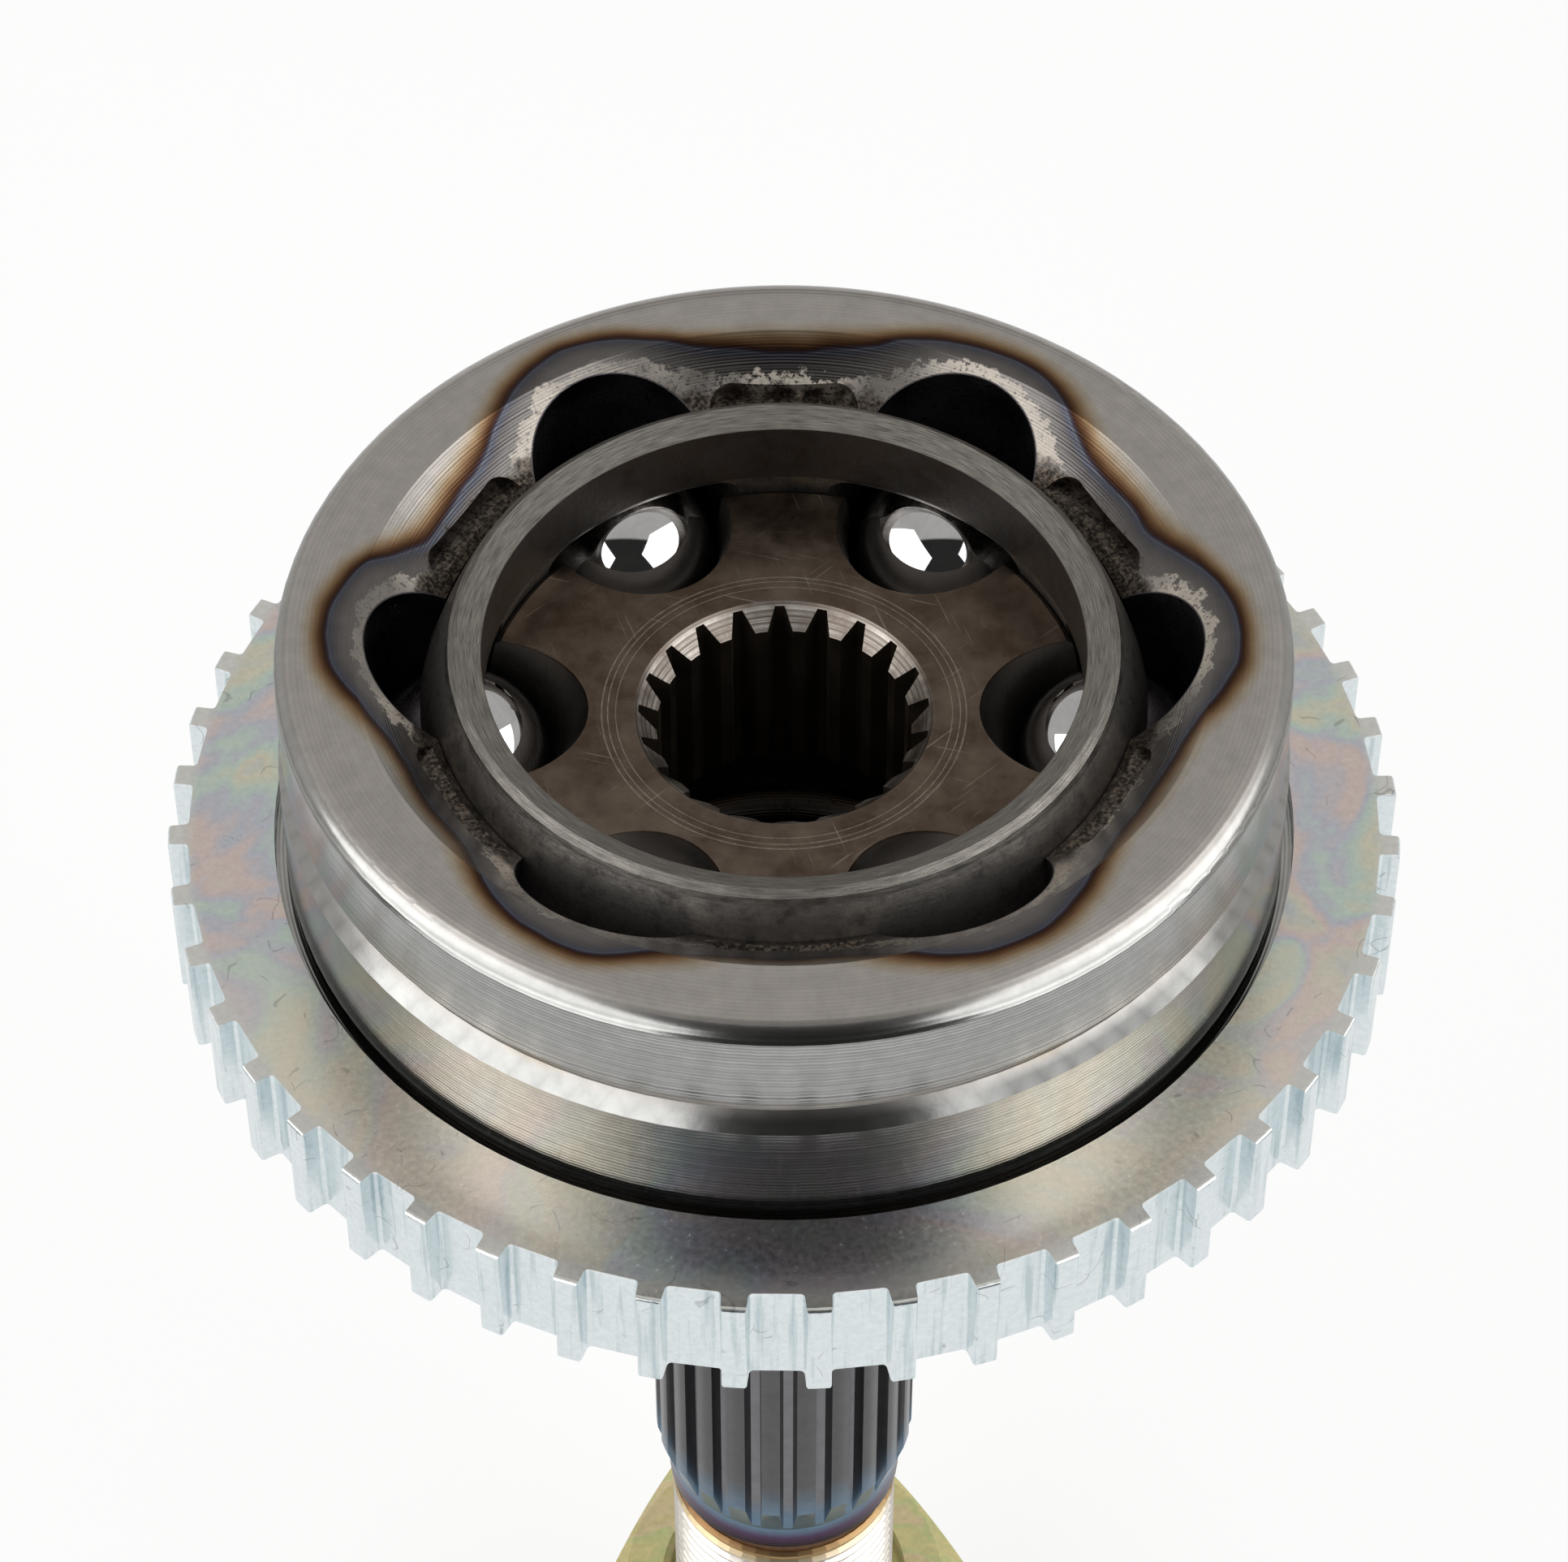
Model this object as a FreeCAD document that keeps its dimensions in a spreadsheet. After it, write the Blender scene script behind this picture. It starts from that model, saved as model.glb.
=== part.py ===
import FreeCAD, Part
import math
import os
import Sketcher

# Fixed-centre constant-velocity joint for the wheel end of a driven axle
#
# The frame's origin is the joint centre, where the shaft axes cross. +Z runs along the
# stub's axis towards the open mouth of the bell. Azimuths are counted from +X towards +Y.
# Lengths are millimetres and angles degrees.

DRIVING_SIZES = {
    # Balls and the arcs that they roll on
    "ball_count": 6,
    "ball_diameter": 17.0,
    "ball_circle_radius": 30.0,
    "track_offset": 6.0,
    "track_clearance": 0.2,
    "track_sweep": 120.0,
    # How far up their tracks the balls off the tilt axis rest, to share out their play
    "ball_rest_lift": 0.32,
    # Cage
    "cage_sphere_radius": 34.3,
    "cage_wall": 5.4,
    "cage_running_gap": 0.15,
    "cage_top_height": 16.5,
    "cage_entry_radius": 27.35,
    "cage_entry_chamfer": 1.05,
    "cage_base_depth": 16.4,
    "cage_base_bore_radius": 26.6,
    "cage_edge_chamfer": 0.5,
    "window_clearance": 0.35,
    "window_length": 20.6,
    "window_corner_radius": 2.6,
    # Inner race
    "race_face_height": 6.65,
    "race_back_depth": 14.5,
    "race_edge_chamfer": 0.4,
    "bore_teeth": 21,
    "bore_tip_radius": 11.7,
    "bore_root_radius": 13.35,
    "bore_groove_mouth": 2.3,
    "bore_groove_root": 0.9,
    "bore_chamfer_radius": 13.7,
    "bore_groove_azimuth": 91.7,
    # Bell of the outer race
    "mouth_height": 17.3,
    "bell_radius": 46.0,
    "mouth_edge_radius": 1.9,
    "mouth_inner_radius": 38.8,
    "mouth_cone_depth": 5.0,
    "boot_groove_top": 7.4,
    "boot_groove_width": 4.0,
    "boot_groove_depth": 1.2,
    "lower_band_step": 0.4,
    "lower_band_bottom": 7.3,
    "relief_depth": 3.3,
    "relief_width": 1.8,
    "ring_seat_step": 1.5,
    "ring_seat_fit": 0.02,
    "ring_shoulder_height": 2.3,
    "ring_shoulder_width": 3.0,
    "dome_step": 4.0,
    "dome_arc_radius": 44.0,
    "dome_foot_radius": 29.0,
    "bearing_shoulder_radius": 26.0,
    "bearing_shoulder_depth": 46.7,
    "bearing_shoulder_width": 4.2,
    "cavity_neck_radius": 24.0,
    "cavity_floor_depth": 33.0,
    "cavity_floor_radius": 5.0,
    # Shallow pocket at the entry of each land between two tracks
    "land_pocket_width": 14.0,
    "land_pocket_reach": 0.15,
    "land_pocket_floor": 0.6,
    "land_pocket_corner": 2.2,
    # Stub shaft
    "pilot_radius": 15.0,
    "pilot_length": 8.0,
    "pilot_chamfer": 0.6,
    "spline_relief_width": 3.0,
    "spline_relief_depth": 1.3,
    "spline_teeth": 23,
    "spline_radius": 13.65,
    "spline_depth": 1.15,
    "spline_groove_mouth": 1.8,
    "spline_groove_root": 1.0,
    "spline_end": 105.2,
    "spline_chamfer_length": 4.6,
    "spline_groove_azimuth": -88.0,
    "neck_radius": 12.35,
    "thread_start": 114.0,
    "thread_radius": 12.0,
    "thread_pitch": 1.5,
    "stub_end": 158.2,
    "stub_end_chamfer": 1.5,
    "centre_hole_radius": 3.2,
    "centre_hole_depth": 4.6,
    # Tone ring
    "tone_teeth": 48,
    "tone_ring_top": 7.25,
    "tone_ring_height": 11.55,
    "tone_ring_sheet": 2.2,
    "tone_collar_height": 9.25,
    "tone_channel_width": 3.5,
    "tone_tooth_depth": 2.0,
    "tone_tooth_width": 2.3,
    "tone_edge_radius": 0.45,
    "tone_gap_azimuth": -83.15,
    # Hub nut
    "nut_across_flats": 36.0,
    "nut_height": 21.0,
    "nut_standoff": 0.5,
    "nut_face_radius": 17.5,
    "nut_chamfer_height": 1.8,
    "nut_recess_radius": 13.6,
    "nut_recess_depth": 1.6,
    "nut_thread_gap": 0.08,
    "nut_flat_azimuth": 35.0,
}

doc = FreeCAD.newDocument("cv_joint")
sheet = doc.addObject("Spreadsheet::Sheet", "Sizes")
for row, (name, value) in enumerate(DRIVING_SIZES.items(), start=1):
    sheet.set(f"A{row}", name)
    sheet.set(f"B{row}", str(value))
    sheet.setAlias(f"B{row}", name)
doc.recompute()


class Size:
    """A length or count with its value and the spreadsheet formula that drives it."""

    def __init__(self, value, formula):
        self.value = float(value)
        self.formula = formula

    def join(self, other, sign, result):
        return Size(result, f"({self.formula} {sign} {as_size(other).formula})")

    def __add__(self, other):
        return self.join(other, "+", self.value + as_size(other).value)

    def __sub__(self, other):
        return self.join(other, "-", self.value - as_size(other).value)

    def __mul__(self, other):
        return self.join(other, "*", self.value * as_size(other).value)

    def __truediv__(self, other):
        return self.join(other, "/", self.value / as_size(other).value)

    def __rsub__(self, other):
        return as_size(other) - self

    def __rmul__(self, other):
        return as_size(other) * self

    def __neg__(self):
        return Size(-self.value, f"(-{self.formula})")


def as_size(number):
    return number if isinstance(number, Size) else Size(number, str(number))


def root(size):
    return Size(math.sqrt(size.value), f"sqrt({size.formula})")


def side(long_side, other_side):
    """The remaining side of a right triangle: where a sphere's arc meets a height."""
    return root(long_side * long_side - other_side * other_side)


def cosine(angle):
    return Size(math.cos(math.radians(angle.value)), f"cos({angle.formula} * 1deg)")


def sine(angle):
    return Size(math.sin(math.radians(angle.value)), f"sin({angle.formula} * 1deg)")


def arc_tangent(ratio):
    return Size(math.degrees(math.atan(ratio.value)), f"(atan({ratio.formula}) / 1deg)")


S = {name: Size(value, f"Sizes.{name}") for name, value in DRIVING_SIZES.items()}

# Sizes that several pieces share
ball_radius = S["ball_diameter"] / 2
track_radius = ball_radius + S["track_clearance"]
path_radius = root(S["ball_circle_radius"] * S["ball_circle_radius"]
                   + S["track_offset"] * S["track_offset"])
bell_sphere = S["cage_sphere_radius"] + S["cage_running_gap"]
cage_inner_sphere = S["cage_sphere_radius"] - S["cage_wall"]
race_sphere = cage_inner_sphere - S["cage_running_gap"]
groove_floor = S["spline_radius"] - S["spline_depth"]
ring_bore_radius = S["bell_radius"] + S["ring_seat_step"]
ring_seat_bottom = S["tone_ring_top"] + S["tone_collar_height"]
# A thread is drawn as the cylinder at its pitch radius, halfway up a 60 degree flank
thread_pitch_radius = S["thread_radius"] - S["thread_pitch"] * 0.3248


def bind(thing, prop, size):
    thing.setExpression(prop, as_size(size).formula)


def origin_plane(body, role):
    return next(f for f in body.Origin.OriginFeatures if f.Role == role)


def new_body(name):
    body = doc.addObject("PartDesign::Body", name)
    body.Label = name
    return body


def new_sketch(body, name, plane="XZ_Plane", lift=None):
    """A sketch on one of the body's own origin planes, moved along its normal by lift."""
    sketch = body.newObject("Sketcher::SketchObject", name)
    sketch.AttachmentSupport = [(origin_plane(body, plane), "")]
    sketch.MapMode = "FlatFace"
    if lift is not None:
        bind(sketch, "AttachmentOffset.Base.z", lift)
    return sketch


def pin_point(sketch, geometry, point, x, y):
    """Hold one point of the sketch at a place that follows the spreadsheet."""
    for kind, size, axis in (("DistanceX", x, -2), ("DistanceY", y, -1)):
        size = as_size(size)
        if size.formula in ("0", "0.0"):
            sketch.addConstraint(Sketcher.Constraint("PointOnObject", geometry, point, axis))
        else:
            held = sketch.addConstraint(Sketcher.Constraint(kind, geometry, point, size.value))
            sketch.setExpression(f"Constraints[{held}]", size.formula)


def outline(sketch, corners):
    """Close a chain of corners. Each is (x, y), or (x, y, turn, radius) where an arc that
    turns left or right leads to it from the corner before."""
    spots = [FreeCAD.Vector(as_size(c[0]).value, as_size(c[1]).value, 0) for c in corners]
    first = sketch.GeometryCount
    for index, corner in enumerate(corners):
        start = spots[index - 1]
        end = spots[index]
        if len(corner) == 2:
            sketch.addGeometry(Part.LineSegment(start, end), False)
            continue
        if corner[2] == "right":
            start, end = end, start
        radius = as_size(corner[3]).value
        chord = end - start
        to_centre = FreeCAD.Vector(-chord.y, chord.x, 0).normalize()
        rise = math.sqrt(max(radius ** 2 - (chord.Length / 2) ** 2, 0.0))
        centre = (start + end) / 2 + to_centre * rise
        circle = Part.Circle(centre, FreeCAD.Vector(0, 0, 1), radius)
        from_angle = math.atan2(start.y - centre.y, start.x - centre.x)
        to_angle = math.atan2(end.y - centre.y, end.x - centre.x)
        sketch.addGeometry(Part.ArcOfCircle(circle, from_angle, to_angle), False)
    for index, corner in enumerate(corners):
        after = (index + 1) % len(corners)
        # An arc is stored anticlockwise, so one that turns right ends at its first point
        ends_at = 1 if corner[2:3] == ("right",) else 2
        starts_at = 2 if corners[after][2:3] == ("right",) else 1
        sketch.addConstraint(Sketcher.Constraint("Coincident", first + index, ends_at,
                                                 first + after, starts_at))
        pin_point(sketch, first + index, ends_at, corner[0], corner[1])
        if len(corner) == 4:
            radius = as_size(corner[3])
            held = sketch.addConstraint(Sketcher.Constraint("Radius", first + index, radius.value))
            sketch.setExpression(f"Constraints[{held}]", radius.formula)


def round_hole(sketch, x, radius):
    """A full circle on the sketch's horizontal axis."""
    centre = FreeCAD.Vector(x.value, 0, 0)
    circle = Part.Circle(centre, FreeCAD.Vector(0, 0, 1), radius.value)
    edge = sketch.addGeometry(circle, False)
    pin_point(sketch, edge, 3, x, 0)
    held = sketch.addConstraint(Sketcher.Constraint("Radius", edge, radius.value))
    sketch.setExpression(f"Constraints[{held}]", radius.formula)


def turned(body, name, corners):
    """Revolve a half profile, drawn as radius and height, once round the axis."""
    sketch = new_sketch(body, name + "_profile")
    outline(sketch, corners)
    solid = body.newObject("PartDesign::Revolution", name)
    solid.Profile = sketch
    solid.ReferenceAxis = (sketch, ["V_Axis"])
    solid.Angle = 360
    body.Tip = solid


def cut_down(body, name, sketch, depth):
    """Pocket a sketch on a horizontal plane straight down."""
    pocket = body.newObject("PartDesign::Pocket", name)
    pocket.Profile = sketch
    pocket.Type = "Length"
    bind(pocket, "Length", depth)
    body.Tip = pocket
    return pocket


def repeat_round(body, feature, count):
    """Copy a cut evenly round the axis."""
    pattern = body.newObject("PartDesign::PolarPattern", feature.Name + "s")
    pattern.Originals = [feature]
    pattern.Axis = (origin_plane(body, "Z_Axis"), [""])
    pattern.Angle = 360
    bind(pattern, "Occurrences", count)
    body.Tip = pattern


def turn_sketch(sketch, azimuth):
    """Turn a sketch on a horizontal plane so that its +X points at an azimuth."""
    bind(sketch, "AttachmentOffset.Rotation.Angle", azimuth)


def ball_tracks(body, name, arc_centre_height):
    """Grooves of round section that the balls roll in, swept about a level line that
    crosses the axis above or below the joint centre."""
    sketch = new_sketch(body, name + "_section", "XY_Plane", arc_centre_height)
    round_hole(sketch, path_radius, track_radius)
    groove = body.newObject("PartDesign::Groove", name)
    groove.Profile = sketch
    groove.ReferenceAxis = (sketch, ["V_Axis"])
    bind(groove, "Angle", S["track_sweep"])
    groove.Midplane = True
    body.Tip = groove
    repeat_round(body, groove, S["ball_count"])


def tapered_slot(sketch, inner_y, outer_y, inner_width, outer_width):
    """A cut with sloping flanks, centred on the sketch's vertical axis."""
    outline(sketch, [
        (-inner_width / 2, inner_y),
        (inner_width / 2, inner_y),
        (outer_width / 2, outer_y),
        (-outer_width / 2, outer_y),
    ])


def make_outer_race():
    """The bell with its ball tracks, and the splined and threaded stub in one forging."""
    body = new_body("outer_race")
    stub_end = S["stub_end"]
    relief_radius = S["spline_radius"] - S["spline_relief_depth"]
    pilot_bottom = S["bearing_shoulder_depth"] + S["pilot_length"]
    relief_bottom = pilot_bottom + S["spline_relief_width"]
    neck_top = S["spline_end"] + S["spline_chamfer_length"]
    dome_foot = S["bearing_shoulder_depth"] - S["bearing_shoulder_width"]
    lower_band_radius = S["bell_radius"] + S["lower_band_step"]
    seat_radius = ring_bore_radius - S["ring_seat_fit"]
    groove_radius = seat_radius - S["relief_depth"]
    shoulder_radius = ring_bore_radius + S["ring_shoulder_width"]
    shoulder_bottom = ring_seat_bottom + S["ring_shoulder_height"]
    dome_top = shoulder_bottom + S["dome_step"]
    seat_top = S["lower_band_bottom"] + S["relief_width"]
    boot_groove_bottom = S["boot_groove_top"] - S["boot_groove_width"]
    boot_groove_floor = S["bell_radius"] - S["boot_groove_depth"]
    cone_foot = S["mouth_height"] - S["mouth_cone_depth"]
    turned(body, "bell_and_stub", [
        (0, S["centre_hole_depth"] - stub_end),
        (S["centre_hole_radius"], -stub_end),
        (thread_pitch_radius - S["stub_end_chamfer"], -stub_end),
        (thread_pitch_radius, S["stub_end_chamfer"] - stub_end),
        (thread_pitch_radius, -S["thread_start"]),
        (S["neck_radius"], S["neck_radius"] - thread_pitch_radius - S["thread_start"]),
        (S["neck_radius"], -neck_top),
        (S["spline_radius"], -S["spline_end"]),
        (S["spline_radius"], -relief_bottom - S["spline_relief_depth"]),
        (relief_radius, -relief_bottom),
        (relief_radius, -pilot_bottom),
        (S["pilot_radius"] - S["pilot_chamfer"], -pilot_bottom),
        (S["pilot_radius"], S["pilot_chamfer"] - pilot_bottom),
        (S["pilot_radius"], -S["bearing_shoulder_depth"]),
        (S["bearing_shoulder_radius"], -S["bearing_shoulder_depth"]),
        (S["bearing_shoulder_radius"], -dome_foot),
        (S["dome_foot_radius"], -dome_foot),
        (shoulder_radius - S["dome_step"], -dome_top, "left", S["dome_arc_radius"]),
        (shoulder_radius, -shoulder_bottom),
        (shoulder_radius, -ring_seat_bottom),
        (seat_radius, -ring_seat_bottom),
        (seat_radius, -seat_top),
        (groove_radius, -seat_top),
        (groove_radius, -S["lower_band_bottom"]),
        (lower_band_radius, -S["lower_band_bottom"]),
        (lower_band_radius, boot_groove_bottom),
        (boot_groove_floor, boot_groove_bottom + lower_band_radius - boot_groove_floor),
        (boot_groove_floor, S["boot_groove_top"] - S["boot_groove_depth"]),
        (S["bell_radius"], S["boot_groove_top"]),
        (S["bell_radius"], S["mouth_height"] - S["mouth_edge_radius"]),
        (S["bell_radius"] - S["mouth_edge_radius"], S["mouth_height"], "left", S["mouth_edge_radius"]),
        (S["mouth_inner_radius"], S["mouth_height"]),
        (side(bell_sphere, cone_foot), cone_foot),
        (S["cavity_neck_radius"], -side(bell_sphere, S["cavity_neck_radius"]), "right", bell_sphere),
        (S["cavity_neck_radius"], S["cavity_floor_radius"] - S["cavity_floor_depth"]),
        (S["cavity_neck_radius"] - S["cavity_floor_radius"], -S["cavity_floor_depth"], "right",
         S["cavity_floor_radius"]),
        (0, -S["cavity_floor_depth"]),
    ])
    ball_tracks(body, "outer_track", S["track_offset"])

    # The land between two tracks is cut back where the cage's sphere is led in
    sketch = new_sketch(body, "land_pocket_outline", "XY_Plane", S["mouth_height"])
    turn_sketch(sketch, as_size(180) / S["ball_count"])
    half_width = S["land_pocket_width"] / 2
    corner = S["land_pocket_corner"]
    reach = bell_sphere + S["land_pocket_reach"]
    outline(sketch, [
        (reach, half_width - corner),
        (reach - corner, half_width, "left", corner),
        (0, half_width),
        (0, -half_width),
        (reach - corner, -half_width),
        (reach, corner - half_width, "left", corner),
    ])
    cut_down(body, "land_pocket", sketch, S["mouth_cone_depth"] - S["land_pocket_floor"])
    repeat_round(body, body.Tip, S["ball_count"])

    # The stub's spline, hobbed from the threaded end up to the relief
    sketch = new_sketch(body, "spline_groove", "XY_Plane", -relief_bottom)
    turn_sketch(sketch, S["spline_groove_azimuth"] - 90)
    flare = (S["spline_groove_mouth"] - S["spline_groove_root"]) / S["spline_depth"]
    tapered_slot(sketch, groove_floor, S["spline_radius"] + S["spline_depth"],
                 S["spline_groove_root"], S["spline_groove_mouth"] + flare * S["spline_depth"])
    cut_down(body, "spline_cut", sketch, neck_top - relief_bottom)
    repeat_round(body, body.Tip, S["spline_teeth"])


def make_inner_race():
    """The star that the half-shaft pushes into, with six tracks and a splined bore."""
    body = new_body("inner_race")
    face = S["race_face_height"]
    back = S["race_back_depth"]
    edge = S["race_edge_chamfer"]
    bore_chamfer = S["bore_chamfer_radius"] - S["bore_tip_radius"]
    turned(body, "star_blank", [
        (S["bore_chamfer_radius"], -back),
        (side(race_sphere, back) - edge, -back),
        (side(race_sphere, back - edge), edge - back),
        (side(race_sphere, face - edge), face - edge, "left", race_sphere),
        (side(race_sphere, face) - edge, face),
        (S["bore_chamfer_radius"], face),
        (S["bore_tip_radius"], face - bore_chamfer),
        (S["bore_tip_radius"], bore_chamfer - back),
    ])
    ball_tracks(body, "inner_track", -S["track_offset"])
    sketch = new_sketch(body, "bore_groove", "XY_Plane", face)
    turn_sketch(sketch, S["bore_groove_azimuth"] - 90)
    depth = S["bore_root_radius"] - S["bore_tip_radius"]
    flare = (S["bore_groove_mouth"] - S["bore_groove_root"]) / depth
    tapered_slot(sketch, S["bore_tip_radius"] - depth, S["bore_root_radius"],
                 S["bore_groove_mouth"] + flare * depth, S["bore_groove_root"])
    cut_down(body, "bore_spline", sketch, face + back)
    repeat_round(body, body.Tip, S["bore_teeth"])


def make_cage():
    """A ball cage, spherical inside and out, with a window for each ball."""
    body = new_body("cage")
    outer = S["cage_sphere_radius"]
    edge = S["cage_edge_chamfer"]
    top = S["cage_top_height"]
    base = S["cage_base_depth"]
    turned(body, "cage_blank", [
        (S["cage_base_bore_radius"], -base),
        (side(outer, base) - edge, -base),
        (side(outer, base - edge), edge - base),
        (side(outer, top - edge), top - edge, "left", outer),
        (side(outer, top) - edge, top),
        (S["cage_entry_radius"], top - S["cage_entry_chamfer"]),
        (S["cage_entry_radius"], side(cage_inner_sphere, S["cage_entry_radius"])),
        (S["cage_base_bore_radius"], -side(cage_inner_sphere, S["cage_base_bore_radius"]), "right",
         cage_inner_sphere),
    ])
    sketch = new_sketch(body, "window_outline", "YZ_Plane")
    half_length = S["window_length"] / 2
    half_height = ball_radius + S["window_clearance"]
    corner = S["window_corner_radius"]
    outline(sketch, [
        (half_length, half_height - corner),
        (half_length - corner, half_height, "left", corner),
        (corner - half_length, half_height),
        (-half_length, half_height - corner, "left", corner),
        (-half_length, corner - half_height),
        (corner - half_length, -half_height, "left", corner),
        (half_length - corner, -half_height),
        (half_length, corner - half_height, "left", corner),
    ])
    window = cut_down(body, "window", sketch, outer)
    window.Reversed = True
    repeat_round(body, window, S["ball_count"])


def make_balls():
    """One hardened ball in each pair of tracks. The joint tilts about X, so the balls on
    that axis lie in the joint plane and the others rest a little way up their tracks."""
    for number in range(int(S["ball_count"].value)):
        ball = doc.addObject("Part::Sphere", f"ball_{number + 1}")
        ball.Label = f"ball_{number + 1}"
        bind(ball, "Radius", ball_radius)
        azimuth = as_size(360 * number) / S["ball_count"]
        on_tilt_axis = abs(sine(azimuth).value) < 1e-9
        track_angle = arc_tangent(S["track_offset"] / S["ball_circle_radius"])
        if not on_tilt_axis:
            track_angle = track_angle - S["ball_rest_lift"]
        reach = path_radius * cosine(track_angle)
        bind(ball, "Placement.Base.x", reach * cosine(azimuth))
        bind(ball, "Placement.Base.y", reach * sine(azimuth))
        bind(ball, "Placement.Base.z", S["track_offset"] - path_radius * sine(track_angle))


def make_tone_ring():
    """The pressed wheel-speed ring: a channel section whose outer skirt is toothed."""
    body = new_body("tone_ring")
    bore = ring_bore_radius
    sheet_gauge = S["tone_ring_sheet"]
    top = -S["tone_ring_top"]
    gap_floor = bore + sheet_gauge + S["tone_channel_width"] + sheet_gauge
    tip = gap_floor + S["tone_tooth_depth"]
    edge = S["tone_edge_radius"]
    turned(body, "ring_blank", [
        (bore, top - S["tone_collar_height"]),
        (bore + sheet_gauge, top - S["tone_collar_height"]),
        (bore + sheet_gauge, top - sheet_gauge),
        (gap_floor - sheet_gauge, top - sheet_gauge),
        (gap_floor - sheet_gauge, top - S["tone_ring_height"]),
        (tip, top - S["tone_ring_height"]),
        (tip, top - edge),
        (tip - edge, top, "left", edge),
        (bore, top),
    ])
    sketch = new_sketch(body, "tooth_gap", "XY_Plane", top)
    turn_sketch(sketch, S["tone_gap_azimuth"] - 90)
    # Each tooth keeps its width from the floor of the gap to its tip
    half_pitch = sine(as_size(180) / S["tone_teeth"])
    floor_half = gap_floor * half_pitch - S["tone_tooth_width"] / 2
    mouth_half = tip * half_pitch - S["tone_tooth_width"] / 2
    beyond = tip + edge
    outline(sketch, [
        (floor_half - edge, gap_floor),
        (floor_half, gap_floor + edge, "left", edge),
        (mouth_half, tip - edge),
        (mouth_half + edge, tip, "right", edge),
        (mouth_half + edge, beyond),
        (-mouth_half - edge, beyond),
        (-mouth_half - edge, tip),
        (-mouth_half, tip - edge, "right", edge),
        (-floor_half, gap_floor + edge),
        (edge - floor_half, gap_floor, "left", edge),
    ])
    cut_down(body, "tone_gap", sketch, S["tone_ring_height"])
    repeat_round(body, body.Tip, S["tone_teeth"])


def make_hub_nut():
    """The hexagon nut that clamps the stub in the wheel hub, run on to the thread's end."""
    body = new_body("hub_nut")
    bottom = -S["stub_end"] - S["nut_standoff"]
    top = bottom + S["nut_height"]
    bore = thread_pitch_radius + S["nut_thread_gap"]
    corner_radius = S["nut_across_flats"] / root(as_size(3))
    bevel = S["nut_chamfer_height"]
    recess = S["nut_recess_depth"]
    turned(body, "nut_blank", [
        (S["nut_recess_radius"], bottom),
        (S["nut_face_radius"], bottom),
        (corner_radius, bottom + bevel),
        (corner_radius, top - bevel),
        (S["nut_face_radius"], top),
        (S["nut_recess_radius"], top),
        (bore, top - recess),
        (bore, bottom + recess),
    ])
    sketch = new_sketch(body, "flat_outline", "XY_Plane", top)
    turn_sketch(sketch, S["nut_flat_azimuth"])
    flat = S["nut_across_flats"] / 2
    outline(sketch, [
        (flat, -corner_radius),
        (corner_radius * 2 - flat, -corner_radius),
        (corner_radius * 2 - flat, corner_radius),
        (flat, corner_radius),
    ])
    cut_down(body, "nut_flat", sketch, S["nut_height"])
    repeat_round(body, body.Tip, 6)


make_outer_race()
make_tone_ring()
make_cage()
make_inner_race()
make_balls()
make_hub_nut()
doc.recompute()

failed = [thing.Label for thing in doc.Objects if "Invalid" in thing.State or "Error" in thing.State]
if failed:
    raise SystemExit("These did not compute: " + ", ".join(failed))

parts = [thing for thing in doc.Objects if thing.TypeId in ("PartDesign::Body", "Part::Sphere")]
for part in parts:
    if part.Shape.isNull() or not part.Shape.isValid():
        raise SystemExit(part.Label + " has no valid shape")

os.makedirs("parts", exist_ok=True)
for part in parts:
    part.Shape.exportStep(f"parts/{part.Label}.step")
    box = part.Shape.BoundBox
    print(f"{part.Label}: {len(part.Shape.Solids)} solid, {part.Shape.Volume / 1000:.2f} cm3, "
          f"height {box.ZMin:.2f} to {box.ZMax:.2f}, width {box.XLength:.2f}")
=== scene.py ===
import math

import bmesh
import bpy
from mathutils import Matrix, Vector


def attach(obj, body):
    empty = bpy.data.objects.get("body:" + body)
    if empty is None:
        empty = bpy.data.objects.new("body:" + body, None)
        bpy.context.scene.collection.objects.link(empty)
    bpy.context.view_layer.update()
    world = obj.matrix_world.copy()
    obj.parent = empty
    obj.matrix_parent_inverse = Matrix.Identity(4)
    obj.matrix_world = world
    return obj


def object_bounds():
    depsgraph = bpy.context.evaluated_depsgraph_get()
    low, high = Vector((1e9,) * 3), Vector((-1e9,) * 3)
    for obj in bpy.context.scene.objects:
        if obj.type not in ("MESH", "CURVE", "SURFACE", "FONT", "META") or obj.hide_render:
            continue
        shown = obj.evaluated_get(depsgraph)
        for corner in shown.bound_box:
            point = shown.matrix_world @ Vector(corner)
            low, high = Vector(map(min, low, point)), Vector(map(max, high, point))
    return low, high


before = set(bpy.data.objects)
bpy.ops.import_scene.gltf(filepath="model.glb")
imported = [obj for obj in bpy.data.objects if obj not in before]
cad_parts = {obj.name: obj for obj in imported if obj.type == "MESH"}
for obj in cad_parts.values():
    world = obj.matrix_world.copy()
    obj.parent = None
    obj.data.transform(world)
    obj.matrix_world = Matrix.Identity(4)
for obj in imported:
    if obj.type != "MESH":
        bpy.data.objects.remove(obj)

cadBox = [list(corner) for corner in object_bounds()]
mm = 0.001

print("frame loaded:", ", ".join(sorted(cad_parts)))


def linearColour(hexCode):  # sRGB hex to the linear values that nodes take
    channels = [int(hexCode[i:i + 2], 16) / 255 for i in (1, 3, 5)]
    linear = [c / 12.92 if c <= 0.04045 else ((c + 0.055) / 1.055) ** 2.4 for c in channels]
    return (*linear, 1.0)


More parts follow.
